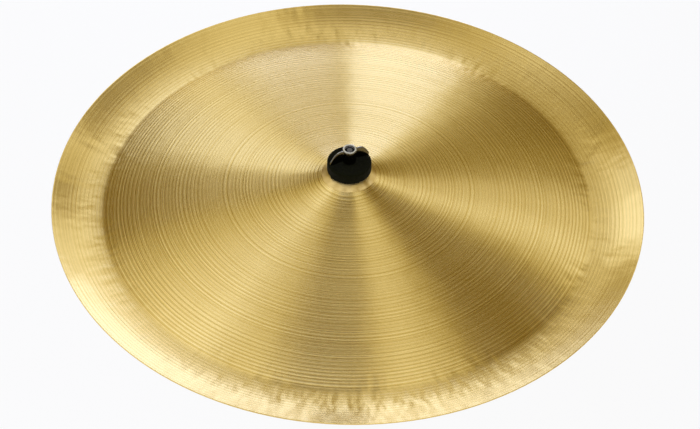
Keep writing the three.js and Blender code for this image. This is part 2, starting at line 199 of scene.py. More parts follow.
print("node tools ready")

# %% [markdown]
# ## The studio
# Lathed bronze shows its surroundings as a fan of light and dark wedges, so the studio matters as
# much as the metal. The sky is a plain soft one, brighter in some directions and even under the
# horizon. Where the cymbal mirrors the studio for the camera stands a tent wall of lighter and darker
# cloth, a metre away.

# %% The soft sky
SKY_LUMPS, SKY_DIM, SKY_BRIGHT = 2.3, 0.22, 1.6
HORIZON = (-0.04, 0.10)

sky = bpy.data.worlds.new("soft_sky")
bpy.context.scene.world = sky
sky.use_nodes = True
sky_tree = sky.node_tree
heading = add_node(sky_tree, "ShaderNodeTexCoord").outputs["Generated"]
height = add_node(sky_tree, "ShaderNodeSeparateXYZ", {0: heading}).outputs["Z"]
drift = fade(sky_tree, grain(sky_tree, heading, SKY_LUMPS, 1.0), 0.40, 0.60, SKY_DIM, SKY_BRIGHT)
overhead = fade(sky_tree, height, *HORIZON)
sky_light = sum_up(sky_tree, "ADD", sum_up(sky_tree, "MULTIPLY", drift, overhead),
                   sum_up(sky_tree, "SUBTRACT", 1.0, overhead))
direct = add_node(sky_tree, "ShaderNodeLightPath").outputs["Is Camera Ray"]
sky_strength = sum_up(sky_tree, "MAXIMUM", sky_light, direct)
background = sky_tree.nodes["Background"]
background.inputs["Strength"].default_value = 1.0
sky_tree.links.new(tinted(sky_tree, sky_strength), background.inputs["Color"])
print("sky nodes", len(sky_tree.nodes))

# %% The floor
FLOOR_DROP, FLOOR_SIZE = 0.35, 24
FLOOR_PAINT = (0.82, 0.82, 0.82, 1)
FLOOR_GLOW_SHARE = 0.88


def stage_sheet(name, size, matrix, material):
    bm = bmesh.new()
    bmesh.ops.create_grid(bm, x_segments=1, y_segments=1, size=0.5)
    bmesh.ops.scale(bm, vec=(size, size, 1), verts=bm.verts)
    mesh = bpy.data.meshes.new(name)
    bm.to_mesh(mesh)
    bm.free()
    sheet = bpy.data.objects.new(name, mesh)
    sheet.matrix_world = matrix
    mesh.materials.append(material)
    bpy.context.scene.collection.objects.link(sheet)
    sheet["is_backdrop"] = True
    return sheet


floor_finish, floor_tree, floor_shader = new_finish("floor_white")
floor_tree.nodes.remove(floor_shader)
floor_paint = add_node(floor_tree, "ShaderNodeBsdfDiffuse", {"Color": FLOOR_PAINT})
floor_glow = add_node(floor_tree, "ShaderNodeEmission", {"Color": (1, 1, 1, 1), "Strength": 1.0})
floor_mix = add_node(
    floor_tree, "ShaderNodeMixShader",
    {0: sum_up(floor_tree, "MULTIPLY", seen_directly(floor_tree), FLOOR_GLOW_SHARE),
     1: floor_paint.outputs[0], 2: floor_glow.outputs[0]})
floor_tree.links.new(floor_mix.outputs[0], floor_tree.nodes["Material Output"].inputs["Surface"])
stage_sheet("floor", FLOOR_SIZE, Matrix.Translation((0, 0, -FLOOR_DROP)), floor_finish)
print("floor at", -FLOOR_DROP)

# %% [markdown]
# ### The tent wall
# The wall is pale cloth with twenty panels of lighter and darker cloth sewn on, one over the other.
# Each has a direction and a half width in degrees, the softness of its sides, the distances from the
# wall's centre between which it hangs, in metres, and its brightness. Panels that hang near the centre
# show in the turned-up border, and the far ones in the bow where it slopes most.
# The values were fitted to the photograph's light and dark by scratch programs, then rounded and in
# part changed by hand.

# %% The tent wall
WALL_SIZE = 2.8
NEAR_SOFT, FAR_SOFT = 0.06, 0.08
CLOTH_LIGHT = 1.06
CLOTH_PANELS = (
    (145, 46, 8, 0.14, 0.80, 1.90), (127, 6, 8, 0.25, 2.00, 0.80), (130, 3, 4, 0.30, 2.00, 1.20),
    (145, 17, 6, 0.55, 2.00, 0.10), (178, 17, 2, 0.27, 2.00, 0.15), (198, 9, 10, 0.17, 2.00, 0.50),
    (231, 6, 6, 0.40, 2.00, 1.40), (267, 17, 12, 0.32, 2.00, 0.10), (293, 12, 6, 0.15, 2.00, 0.90),
    (322, 22, 10, 0.04, 2.00, 0.15), (3, 8, 4, 0.30, 2.00, 1.90), (4, 4, 8, 0.00, 2.00, 0.10),
    (35, 19, 5, 0.00, 2.00, 0.25), (59, 21, 2, 0.60, 2.00, 0.10), (57, 10, 8, 0.00, 0.35, 1.50),
    (107, 17, 2, 0.16, 0.66, 0.34), (103, 11, 6, 0.56, 0.95, 2.60), (234, 27, 8, 0.10, 0.30, 0.10),
    (78, 13, 2, 0.30, 0.75, 2.60), (66, 20, 6, 0.03, 0.20, 1.15))


def sewn_on(tree, cloth, direction, reach, panel):
    middle, half, soft, near, far, light = panel
    turned_off = sum_up(tree, "WRAP", sum_up(tree, "SUBTRACT", direction, middle), 180.0, -180.0)
    side = fade(tree, sum_up(tree, "ABSOLUTE", turned_off), half - soft, half + soft, 1.0, 0.0)
    inner = fade(tree, reach, near - NEAR_SOFT, near + NEAR_SOFT)
    outer = fade(tree, reach, far - FAR_SOFT, far + FAR_SOFT, 1.0, 0.0)
    cover = sum_up(tree, "MULTIPLY", side, sum_up(tree, "MULTIPLY", inner, outer))
    change = sum_up(tree, "MULTIPLY", cover, sum_up(tree, "SUBTRACT", light, cloth))
    return sum_up(tree, "ADD", cloth, change)


wall_finish, wall_tree, wall_shader = new_finish("tent_cloth")
wall_tree.nodes.remove(wall_shader)
wall_place = add_node(wall_tree, "ShaderNodeTexCoord").outputs["Object"]
wall_turned = add_node(wall_tree, "ShaderNodeMapping", {0: wall_place, "Rotation": (0, 0, math.pi)})
wall_turn = add_node(wall_tree, "ShaderNodeTexGradient", {0: wall_turned.outputs[0]},
                     gradient_type="RADIAL").outputs["Fac"]
wall_direction = sum_up(wall_tree, "MULTIPLY", wall_turn, 360.0)
wall_reach = add_node(wall_tree, "ShaderNodeVectorMath", {0: wall_place},
                      operation="LENGTH").outputs["Value"]
wall_light = CLOTH_LIGHT
for cloth_panel in CLOTH_PANELS:
    wall_light = sewn_on(wall_tree, wall_light, wall_direction, wall_reach, cloth_panel)
wall_glow = add_node(wall_tree, "ShaderNodeEmission", {"Color": tinted(wall_tree, wall_light),
                                                       "Strength": 1.0})
wall_tree.links.new(wall_glow.outputs[0], wall_tree.nodes["Material Output"].inputs["Surface"])

mirror_way = Vector((0, -camera_back.y, camera_back.z))
wall_down = Vector((0, upward.y, -upward.z))
wall_matrix = Matrix((level, wall_down, mirror_way)).transposed().to_4x4()
wall_matrix.translation = rim_centre + mirror_way
wall = stage_sheet("tent_wall", WALL_SIZE, wall_matrix, wall_finish)
wall.visible_camera = False
print("tent wall at", [round(value, 3) for value in wall.location])

# %% [markdown]
# ## Finishes
# Chrome, zinc plate, moulded nylon and pressed fibre are each one shader with a little uneven
# roughness and a fine bump, because no real surface is perfectly even. The thread and the mouth of
# its nut have a darker core: painted shade in the bore and on the thread, with some oil. The wing
# nut's plating is dark, and its faces that look up are painted lighter, a painted highlight. All of
# them read the object's own coordinates, so nothing slides when a piece moves.

# %% Metal and plastic finishes
# Where the painted highlight on faces that look up starts and is full, as the height of the normal.
TOP_LIGHT_FROM, TOP_LIGHT_FULL = 0.72, 0.95
# Soft edge of the painted shade near the axis, in metres.
SHADE_AND_OIL_SOFT = 0.0002


def plain_finish(name, colour, roughness, uneven, grain_scale, bump, metallic=1.0, specular=0.5,
                 shade_and_oil_core=None, painted_top_light=None):
    finish, tree, shader = new_finish(name, {"Metallic": metallic, "Specular IOR Level": specular})
    own = add_node(tree, "ShaderNodeTexCoord").outputs
    place = own["Object"]
    cloud = grain(tree, place, grain_scale / 6, 3.0, 0.6)
    fine = grain(tree, place, grain_scale, 4.0, 0.6)
    worn = [part * (1 - uneven) for part in colour]
    tone = blend_colour(tree, fade(tree, cloud, 0.35, 0.65), (*worn, 1), (*colour, 1))
    # Painted highlight: faces that look up are made lighter.
    if painted_top_light:
        facing = add_node(tree, "ShaderNodeSeparateXYZ", {0: own["Normal"]}).outputs["Z"]
        tone = blend_colour(tree, fade(tree, facing, TOP_LIGHT_FROM, TOP_LIGHT_FULL), tone, (*painted_top_light, 1))
    # Painted shade: near the axis the colour turns darker, standing in for the shade in a bore and on a
    # thread, with some oil.
    if shade_and_oil_core:
        shade_and_oil_reach, shade_and_oil_tone = shade_and_oil_core
        reach = from_axis(tree, place)[1]
        inside = fade(tree, reach, shade_and_oil_reach - SHADE_AND_OIL_SOFT, shade_and_oil_reach + SHADE_AND_OIL_SOFT, 1.0, 0.0)
        tone = blend_colour(tree, inside, tone, (*shade_and_oil_tone, 1))
    tree.links.new(tone, shader.inputs["Base Color"])
    tree.links.new(fade(tree, cloud, 0.3, 0.7, roughness * (1 + 2 * uneven), roughness),
                   shader.inputs["Roughness"])
    lumps = add_node(tree, "ShaderNodeBump", {"Height": fine, "Distance": bump, "Strength": 1.0})
    tree.links.new(lumps.outputs[0], shader.inputs["Normal"])
    return finish


bright_chrome = plain_finish("bright_chrome", (0.56, 0.57, 0.57), roughness=0.05, uneven=0.08,
                             grain_scale=900, bump=0.000004)
# The wing nut gets a painted highlight on its upward faces and painted shade in its bore.
nut_chrome = plain_finish("nut_chrome", (0.15, 0.14, 0.115), roughness=0.10, uneven=0.10,
                          grain_scale=900, bump=0.000008, shade_and_oil_core=(0.0044, (0.09, 0.082, 0.07)),
                          painted_top_light=(0.50, 0.48, 0.40))
# The rod's thread gets painted shade where it lies in the nut's bore.
rod_chrome = plain_finish("rod_chrome", (0.56, 0.57, 0.57), roughness=0.07, uneven=0.08,
                          grain_scale=900, bump=0.000004, shade_and_oil_core=(0.0032, (0.10, 0.095, 0.085)))
cast_chrome = plain_finish("cast_chrome", (0.50, 0.51, 0.52), roughness=0.14, uneven=0.16,
                           grain_scale=700, bump=0.00002)
zinc_plate = plain_finish("zinc_plate", (0.45, 0.46, 0.47), roughness=0.30, uneven=0.24,
                          grain_scale=1500, bump=0.00002)
nylon = plain_finish("nylon", (0.035, 0.036, 0.04), roughness=0.42, uneven=0.2,
                     grain_scale=2500, bump=0.00001, metallic=0.0, specular=0.45)
fibre = plain_finish("pressed_fibre", (0.19, 0.065, 0.035), roughness=0.75, uneven=0.35,
                     grain_scale=3000, bump=0.00004, metallic=0.0)
print("finishes", [finish.name for finish in bpy.data.materials])

# %% [markdown]
# ## Turned pieces
# Most of this object is turned on a lathe, and a lathe is easy to copy: draw half of the outline as
# points of radius and height, then spin it about the axis. Spin merges its seam, doubles on the axis
# are merged, and the normals are worked out again.

# %% The lathe
TO_TILT_AXIS = Matrix(((0, 0, 1, 0), (1, 0, 0, 0), (0, 1, 0, 0), (0, 0, 0, 1)))


def turned(outline, steps):
    bm = bmesh.new()
    corners = [bm.verts.new((radius * MM, 0, height * MM)) for radius, height in outline]
    loop = corners if outline[0][0] == 0 else corners + corners[:1]
    edges = [bm.edges.new(pair) for pair in zip(loop, loop[1:])]
    bmesh.ops.spin(bm, geom=corners + edges, cent=(0, 0, 0), axis=(0, 0, 1), angle=2 * math.pi,
                   steps=steps, use_merge=True)
    bmesh.ops.remove_doubles(bm, verts=bm.verts, dist=0.00001 * MM)
    bmesh.ops.recalc_face_normals(bm, faces=bm.faces)
    return bm


def moved(bm, x=0.0, y=0.0, z=0.0, matrix=None):
    if matrix is not None:
        bmesh.ops.transform(bm, matrix=matrix, verts=bm.verts)
    bmesh.ops.translate(bm, vec=(x * MM, y * MM, z * MM), verts=bm.verts)
    return bm


def together(*parts):
    whole = bmesh.new()
    for part in parts:
        mesh = bpy.data.meshes.new("part")
        part.to_mesh(mesh)
        part.free()
        whole.from_mesh(mesh)
        bpy.data.meshes.remove(mesh)
    return whole


def finished(name, node, bm, material, body=None, sharp=40):
    """The piece that takes a node's place. It rides on one body, or on none when no body is given."""
    mesh = bpy.data.meshes.new(name)
    bm.to_mesh(mesh)
    bm.free()
    mesh.materials.append(material)
    mesh.shade_smooth()
    mesh.set_sharp_from_angle(angle=math.radians(sharp))
    piece = bpy.data.objects.new(name, mesh)
    bpy.context.scene.collection.objects.link(piece)
    if body:
        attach(piece, body)
    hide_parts(node)
    print(name, len(mesh.polygons), "faces")
    return piece


print("lathe ready")

# %% [markdown]
# ## The cymbal's outline
# A flat top and four curves make the upper surface: the bell's shoulder, the bow, the short valley of
# the crease and the border. The lathe tool leaves ridges of uneven width and a few deeper lines, so
# each ring of the outline is lifted or lowered by up to about 0.15 mm. The ridges are strongest on
# the outer bow and faint on the border. The underside lies one sheet thickness below.

# %% The cymbal's outline
CYMBAL_RADIUS = 254.0
SHEET = 1.0
HOLE_RADIUS = 6.0
BELL_FLAT, BELL_EDGE, BELL_EDGE_HEIGHT = 13.0, 23.0, 27.0
CREASE, CREASE_DEPTH, CREASE_ROUND = 209.0, 10.2, 6.0


def curve(points, spacing):
    start, pull, push, end = (Vector((radius, height)) for radius, height in points)
    rough = interpolate_bezier(start, pull, push, end, 60)
    length = sum((b - a).length for a, b in zip(rough, rough[1:]))
    return interpolate_bezier(start, pull, push, end, max(3, round(length / spacing) + 1))


def shares(start, end, first, second):
    run, rise = end[0] - start[0], end[1] - start[1]
    return (start, (start[0] + first[0] * run, start[1] + first[1] * rise),
            (start[0] + second[0] * run, start[1] + second[1] * rise), end)


def smooth_line(spacing):
    bell = shares((BELL_FLAT, BELL_TOP), (BELL_EDGE, BELL_EDGE_HEIGHT), (0.55, 0), (0.76, 0.36))
    bow = shares((BELL_EDGE, BELL_EDGE_HEIGHT), (CREASE, -CREASE_DEPTH), (0.15, 0.38), (0.68, 0.45))
    border = shares((CREASE + CREASE_ROUND, -CREASE_DEPTH - 0.4), (CYMBAL_RADIUS - SHEET / 2, 0),
                    (1 / 3, 0.10), (2 / 3, 0.56))
    into = (Vector(bow[3]) - Vector(bow[2])).normalized() * CREASE_ROUND / 3
    out = (Vector(border[1]) - Vector(border[0])).normalized() * CREASE_ROUND / 3
    valley = (bow[3], Vector(bow[3]) + into, Vector(border[0]) - out, border[0])
    flat = ((HOLE_RADIUS + 0.3, BELL_TOP), (9, BELL_TOP), (11, BELL_TOP), (BELL_FLAT, BELL_TOP))
    line = []
    for points in (flat, bell, bow, valley, border):
        line += curve(points, spacing)[1 if line else 0:]
    return line


def square_to(line, index):
    along = line[min(index + 1, len(line) - 1)] - line[max(index - 1, 0)]
    return Vector((-along.y, along.x)).normalized()


print("outline points", len(smooth_line(0.5)))

# %% Lathe ridges
RIDGE_PITCH, RIDGE_HEIGHT = 3.15, 0.062
DRIFT_LENGTH, DRIFT_SHARE = 18.0, 0.8
STRENGTH_LENGTH, STRENGTH_SHARE = 9.0, 0.75
STRONG_FROM, STRONG_WIDTH, STRONG_EXTRA = 178, 14, 0.85
BORDER_RIDGE_SHARE = 0.19
SCRATCH_LENGTH, SCRATCH_HEIGHT = 0.85, 0.016
LINE_WIDTH, LINE_DEPTH = 0.5, 0.04
DEEP_LINES = (30.4, 47.5, 70.0, 90.5, 104.0, 109.5, 130.0, 150.5, 170.0, 187.0, 240.5, 244.5, 248.0)


def unevenness(radius, length, row):
    """Smooth noise along the radius, about zero; each row is another pattern."""
    return noise.noise(Vector((radius / length, row, 0.0)))


def ridge(radius):
    if radius < BELL_EDGE + 1:
        return 0.0
    drift = unevenness(radius, DRIFT_LENGTH, 3.7) * DRIFT_SHARE
    strength = STRENGTH_SHARE + unevenness(radius, STRENGTH_LENGTH, 5.3)
    strength += STRONG_EXTRA * min(1.0, max(0.0, (radius - STRONG_FROM) / STRONG_WIDTH))
    groove = 0.5 + 0.5 * math.sin(2 * math.pi * (radius / RIDGE_PITCH + drift))
    wave = 0.5 - 1.6 * groove ** 3
    scratch = unevenness(radius, SCRATCH_LENGTH, 3.7) * SCRATCH_HEIGHT
    lines = sum(LINE_DEPTH * math.exp(-((radius - place) / LINE_WIDTH) ** 2) for place in DEEP_LINES)
    height = wave * strength * RIDGE_HEIGHT + scratch - lines
    return height * min(1.0, (radius - BELL_EDGE - 1) / 2) * (BORDER_RIDGE_SHARE if radius > CREASE else 1.0)


def cymbal_outline():
    top = smooth_line(0.5)
    lifted = [point + square_to(top, i) * ridge(point.x) for i, point in enumerate(top)]
    coarse = smooth_line(4.0)
    under = [point - square_to(coarse, i) * SHEET for i, point in enumerate(coarse)]
    edge = [Vector((CYMBAL_RADIUS - 0.13, 0.0)), Vector((CYMBAL_RADIUS, -0.4)),
            Vector((CYMBAL_RADIUS - 0.05, -0.75))]
    hole = [Vector((HOLE_RADIUS, BELL_TOP - SHEET + 0.25)), Vector((HOLE_RADIUS, BELL_TOP - 0.25))]
    return lifted + edge + under[::-1] + hole


cymbal_rings = cymbal_outline()
print("rings", len(cymbal_rings))

# %% The cymbal's sheet
SPOKES = 144
ROUND_SCALE, REACH_SCALE = 6, 4
CREST_SPAN = 0.14

cymbal_shape = moved(turned([tuple(point) for point in cymbal_rings], SPOKES), z=rim_plane / MM)
round_way = cymbal_shape.loops.layers.uv.new("turn_and_reach")
for face in cymbal_shape.faces:
    middle = face.calc_center_median()
    middle_turn = math.atan2(middle.y, middle.x)
    for corner in face.loops:
        place = corner.vert.co
        turn = math.atan2(place.y, place.x) - middle_turn
        turn = (turn + math.pi) % (2 * math.pi) - math.pi
        share = (middle_turn + turn) / (2 * math.pi)
        corner[round_way].uv = (share * ROUND_SCALE, place.xy.length * REACH_SCALE)
crest = cymbal_shape.verts.layers.float.new("crest")
for vert in cymbal_shape.verts:
    upper = vert.normal.z > 0.2
    vert[crest] = 0.5 + ridge(vert.co.xy.length / MM) / CREST_SPAN if upper else 0.5
print("sheet faces", len(cymbal_shape.faces))

# %% [markdown]
# ## Lathed bronze
# Fine grooves run round the cymbal, so it mirrors light in a long streak across them and hardly
# spreads it along them. The shader's anisotropy does that, with the mesh's own round direction as its
# tangent. Rings of noise read the distance from the axis and add the lines that are finer than the
# mesh, fainter on the border, and on the underside, whose mesh is plain, the wide grooves too. Slow
# noise adds the hammer marks, and on both sides of the crease shorter marks lie across the grooves,
# where the hammer turned the sheet up. The zones are distances from the axis, in metres.

# %% Bronze: zones, rings and marks
BELL_ZONE, CREASE_ZONE, GLOSS_ZONE = (0.0228, 0.0238), (0.206, 0.214), (0.209, 0.236)
MARKS_BEGIN, MARKS_END = (0.190, 0.212), (0.220, 0.240)
FACING_DOWN = (-0.3, -0.1)
FINE_RINGS, WIDE_RINGS, HAMMER_LUMPS = 1000, 330, 34
MARKS_ROUND, MARKS_ACROSS = 22.0, 60.0

bronze, bronze_tree, bronze_shader = new_finish(
    "lathed_bronze", {"Metallic": 1.0, "Anisotropic": 1.0, "Anisotropic Rotation": 0.25})
bronze_own = add_node(bronze_tree, "ShaderNodeTexCoord").outputs
bronze_out, bronze_reach = from_axis(bronze_tree, bronze_own["Object"])
off_bell = fade(bronze_tree, bronze_reach, *BELL_ZONE)
fine_rings = grain(bronze_tree, bronze_reach, FINE_RINGS, 1.0, 0.6, "1D")
bronze_facing = add_node(bronze_tree, "ShaderNodeSeparateXYZ", {0: bronze_own["Normal"]}).outputs["Z"]
under_share = fade(bronze_tree, bronze_facing, *FACING_DOWN, 1.0, 0.0)
under_rings = sum_up(bronze_tree, "MULTIPLY", under_share,
                     grain(bronze_tree, bronze_reach, WIDE_RINGS, 2.0, 0.5, "1D"))
hammer = grain(bronze_tree, bronze_own["Object"], HAMMER_LUMPS, 1.5, 0.5)

outward = add_node(bronze_tree, "ShaderNodeVectorMath", {0: bronze_out}, operation="NORMALIZE").outputs[0]
round_step = add_node(bronze_tree, "ShaderNodeVectorMath", {0: outward, "Scale": MARKS_ROUND},
                      operation="SCALE")
reach_step = add_node(bronze_tree, "ShaderNodeCombineXYZ",
                      {"Z": sum_up(bronze_tree, "MULTIPLY", bronze_reach, MARKS_ACROSS)})
mark_place = add_node(bronze_tree, "ShaderNodeVectorMath",
                      {0: round_step.outputs[0], 1: reach_step.outputs[0]}, operation="ADD").outputs[0]
mark_share = sum_up(bronze_tree, "MULTIPLY", fade(bronze_tree, bronze_reach, *MARKS_BEGIN),
                    fade(bronze_tree, bronze_reach, *MARKS_END, 1.0, 0.3))
marks = sum_up(bronze_tree, "MULTIPLY", grain(bronze_tree, mark_place, 1.0, 1.0, 0.5), mark_share)
print("bronze nodes", len(bronze_tree.nodes))

# %% Bronze: colour, gloss and relief
# BRONZE_DEEP is painted shade in the groove valleys and deep lines, and BRONZE_LIGHT painted light on the
# ridge crests, partly patina; fine noise rings also vary between them.
BRONZE_LIGHT = (0.900, 0.690, 0.270, 1)
BRONZE_DEEP = (0.620, 0.425, 0.105, 1)
BELL_TAN = (0.700, 0.500, 0.170, 1)
SMOOTH_RINGS, ROUGH_RINGS = 0.24, 0.29
BELL_EXTRA, BORDER_EXTRA = 0.06, -0.08
UNDER_TONE, UNDER_RELIEF = 2.0, 3.0
RING_RELIEF, HAMMER_RELIEF, MARK_RELIEF = 0.00005, 0.00018, 0.00032

# Painted shade and light: ridge crests are coloured lighter, and groove valleys and deep lines darker, for
# the shade in the lathe grooves, partly patina.
crest_height = add_node(bronze_tree, "ShaderNodeAttribute", attribute_name="crest").outputs["Fac"]
crest_shading = sum_up(bronze_tree, "SUBTRACT", crest_height, under_share)
under_tone = sum_up(bronze_tree, "MULTIPLY", under_rings, UNDER_TONE)
ring_share = sum_up(bronze_tree, "ADD", sum_up(bronze_tree, "ADD", crest_shading, under_tone),
                    fade(bronze_tree, fine_rings, 0.3, 0.7, -0.2, 0.2))
ring_colour = blend_colour(bronze_tree, ring_share, BRONZE_DEEP, BRONZE_LIGHT)
bronze_colour = blend_colour(bronze_tree, off_bell, BELL_TAN, ring_colour)
bronze_tree.links.new(bronze_colour, bronze_shader.inputs["Base Color"])

ring_rough = fade(bronze_tree, fine_rings, 0.3, 0.7, SMOOTH_RINGS, ROUGH_RINGS)
on_bell = sum_up(bronze_tree, "SUBTRACT", 1.0, off_bell)
bell_rough = sum_up(bronze_tree, "MULTIPLY", on_bell, BELL_EXTRA)
border_rough = fade(bronze_tree, bronze_reach, *GLOSS_ZONE, 0.0, BORDER_EXTRA)
bronze_rough = sum_up(bronze_tree, "ADD", sum_up(bronze_tree, "ADD", ring_rough, bell_rough), border_rough)
bronze_tree.links.new(bronze_rough, bronze_shader.inputs["Roughness"])

ring_strength = sum_up(bronze_tree, "MULTIPLY", off_bell,
                       fade(bronze_tree, bronze_reach, *CREASE_ZONE, 1.0, 0.4))
ring_height = sum_up(bronze_tree, "ADD", sum_up(bronze_tree, "MULTIPLY", fine_rings, ring_strength),
                     sum_up(bronze_tree, "MULTIPLY", under_rings, UNDER_RELIEF))
relief = {}
for relief_height, distance in ((ring_height, RING_RELIEF), (hammer, HAMMER_RELIEF), (marks, MARK_RELIEF)):
    bump = add_node(bronze_tree, "ShaderNodeBump",
                    {"Height": relief_height, "Distance": distance, "Strength": 1.0, **relief})
    relief = {"Normal": bump.outputs[0]}
bronze_tree.links.new(relief["Normal"], bronze_shader.inputs["Normal"])
round_tangent = add_node(bronze_tree, "ShaderNodeTangent", direction_type="UV_MAP",
                         uv_map="turn_and_reach")
bronze_tree.links.new(round_tangent.outputs[0], bronze_shader.inputs["Tangent"])
finished("cymbal_sheet", "cymbal", cymbal_shape, bronze, "cymbal", sharp=60)

# %% [markdown]
# ## Felts
# Two thick washers of pressed wool grip the bell. Felt is a dense mat of fibres: nearly black, dull,
# with a soft sheen at its edges and a slightly ragged outline. Each washer is turned with a rounded
# rim, cut finely, and its points are pushed in and out by noise. The upper felt has one frayed spot
# on its lower edge, as in the photograph.

# %% Felt finish
FELT_DARK, FELT_PALE = (0.002, 0.002, 0.0004, 1), (0.008, 0.0082, 0.0012, 1)
FELT_FIBRES, FELT_TUFTS, FELT_RELIEF = 1600, 350, 0.00022

felt_finish, felt_tree, felt_shader = new_finish(
    "black_felt", {"Roughness": 1.0, "Sheen Weight": 0.03, "Sheen Roughness": 0.5,
                   "Specular IOR Level": 0.05})
felt_place = add_node(felt_tree, "ShaderNodeTexCoord").outputs["Object"]
fibres = grain(felt_tree, felt_place, FELT_FIBRES, 5.0, 0.7)
tufts = grain(felt_tree, felt_place, FELT_TUFTS, 2.0, 0.5)
felt_colour = blend_colour(felt_tree, fade(felt_tree, fibres, 0.35, 0.65), FELT_DARK, FELT_PALE)
felt_tree.links.new(felt_colour, felt_shader.inputs["Base Color"])
felt_height = sum_up(felt_tree, "ADD", fibres, tufts)
felt_bump = add_node(felt_tree, "ShaderNodeBump",
                     {"Height": felt_height, "Distance": FELT_RELIEF, "Strength": 1.0})
felt_tree.links.new(felt_bump.outputs[0], felt_shader.inputs["Normal"])
print("felt nodes", len(felt_tree.nodes))

# %% The two felts
FELT_RADIUS, FELT_BORE, FELT_ROUND = 19.0, 5.05, 1.5
LONGEST_EDGE, EDGE_CUTS = 1.6, 7
TUFT_SCALE, STRAND_SCALE, STRAND_SHARE = 900, 2400, 0.6
TUFT_HEIGHT, TUFT_INSET = 0.14, 0.9
FRAY_SIZE, FRAY_HEIGHT = 1.3, 1.2


def is_outer_circle(edge):
    first, second = (vert.co for vert in edge.verts)
    level_edge = abs(first.z - second.z) < 1e-6
    same_reach = abs(first.xy.length - second.xy.length) < 1e-6
    return level_edge and same_reach and first.xy.length > (FELT_BORE + FELT_RADIUS) / 2 * MM


def felt_washer(name, node, low, high, top_shape=None, fray=None):
    bm = turned([(FELT_BORE, low), (FELT_RADIUS, low), (FELT_RADIUS, high), (FELT_BORE, high)], 96)
    circles = [edge for edge in bm.edges if is_outer_circle(edge)]
    bmesh.ops.bevel(bm, geom=circles, offset=FELT_ROUND * MM, offset_type="OFFSET", affect="EDGES",
                    segments=5, profile=0.5, material=-1)
    long_edges = [edge for edge in bm.edges if edge.calc_length() > LONGEST_EDGE * MM]
    bmesh.ops.subdivide_edges(bm, edges=long_edges, cuts=EDGE_CUTS, use_grid_fill=True)
    if top_shape:
        for vert in bm.verts:
            if vert.co.z / MM > (low + high) / 2:
                share = (vert.co.z / MM - low) / (high - low)
                vert.co.z -= top_shape(vert.co.xy.length / MM) * share * MM
    bmesh.ops.recalc_face_normals(bm, faces=bm.faces)
    for vert in bm.verts:
        if vert.co.xy.length / MM > FELT_BORE + 1:
            tuft = noise.noise(vert.co * TUFT_SCALE) + STRAND_SHARE * noise.noise(vert.co * STRAND_SCALE)
            vert.co += vert.normal * (tuft - TUFT_INSET) * TUFT_HEIGHT * MM
    if fray:
        way = Vector((math.cos(fray), math.sin(fray), 0))
        spot = way * FELT_RADIUS * MM + Vector((0, 0, low + FRAY_HEIGHT)) * MM
        for vert in bm.verts:
            pull = math.exp(-((vert.co - spot).length / (FRAY_SIZE * MM)) ** 2)
            vert.co += way * pull * FRAY_SIZE * MM
    piece = finished(name, node, bm, felt_finish, sharp=80)
    return piece


def bell_drop(reach):
    line = smooth_line(1.0)
    heights = [(point.x, point.y) for point in line if point.x < BELL_EDGE + 3]
    for (inner, high), (outer, low) in zip(heights, heights[1:]):
        if inner <= reach <= outer:
            return BELL_TOP - (high + (low - high) * (reach - inner) / (outer - inner))
    return 0.0


low, high = (corner.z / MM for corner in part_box("upper_felt"))
upper_felt = felt_washer("felt_upper", "upper_felt", low, high, fray=math.radians(221))
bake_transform(upper_felt)
low, high = (corner.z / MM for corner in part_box("lower_felt"))
lower_felt = felt_washer("felt_lower", "lower_felt", low, high, bell_drop)
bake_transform(lower_felt)
print("lower felt from", round(low, 2), "to", round(high, 2))

# %% [markdown]
# ## The rod
# The rod is turned from bar: a foot in the head's socket, a collar that carries the seat, and a thin
# end with an M6 thread. A screw thread is one tooth swept round and up, so spin gets a rise as well
# as a turn. Points near the end are drawn in to a cone, as a chamfering tool does.

# %% Threads
THREAD_STEPS = 28


def threaded(radius, depth, pitch, low, high, chamfer):
    turns = math.ceil((high - low) / pitch) + 2
    start = low - pitch
    tooth = [(radius - depth, start), (radius, start + 0.42 * pitch), (radius, start + 0.56 * pitch),
             (radius - depth, start + 0.96 * pitch), (radius - depth, start + pitch)]
    bm = bmesh.new()
    corners = [bm.verts.new((out * MM, 0, height * MM)) for out, height in tooth]
    edges = [bm.edges.new(pair) for pair in zip(corners, corners[1:])]
    bmesh.ops.spin(bm, geom=corners + edges, cent=(0, 0, 0), axis=(0, 0, 1), angle=2 * math.pi * turns,
                   steps=THREAD_STEPS * turns, use_merge=False, dvec=(0, 0, pitch * MM / THREAD_STEPS))
    bmesh.ops.remove_doubles(bm, verts=bm.verts, dist=0.001 * MM)
    for height, outward in ((low, -1), (high, 1)):
        cut = bmesh.ops.bisect_plane(
            bm, geom=bm.verts[:] + bm.edges[:] + bm.faces[:], dist=1e-7,
            plane_co=(0, 0, height * MM), plane_no=(0, 0, outward), clear_outer=True)
        rim = [item for item in cut["geom_cut"] if isinstance(item, bmesh.types.BMEdge)]
        bmesh.ops.contextual_create(bm, geom=rim)
    for vert in bm.verts:
        near = chamfer - min(high - vert.co.z / MM, vert.co.z / MM - low)
        limit = (radius - max(0.0, near)) * MM
        if vert.co.xy.length > limit:
            vert.co.xy *= limit / vert.co.xy.length
    bmesh.ops.recalc_face_normals(bm, faces=bm.faces)
    return bm


print("threads ready")

# %% The tilter rod
ROD_RADIUS, COLLAR_RADIUS, COLLAR_TALL = 4, 8, 3
SLEEVE_GAP = 0.3

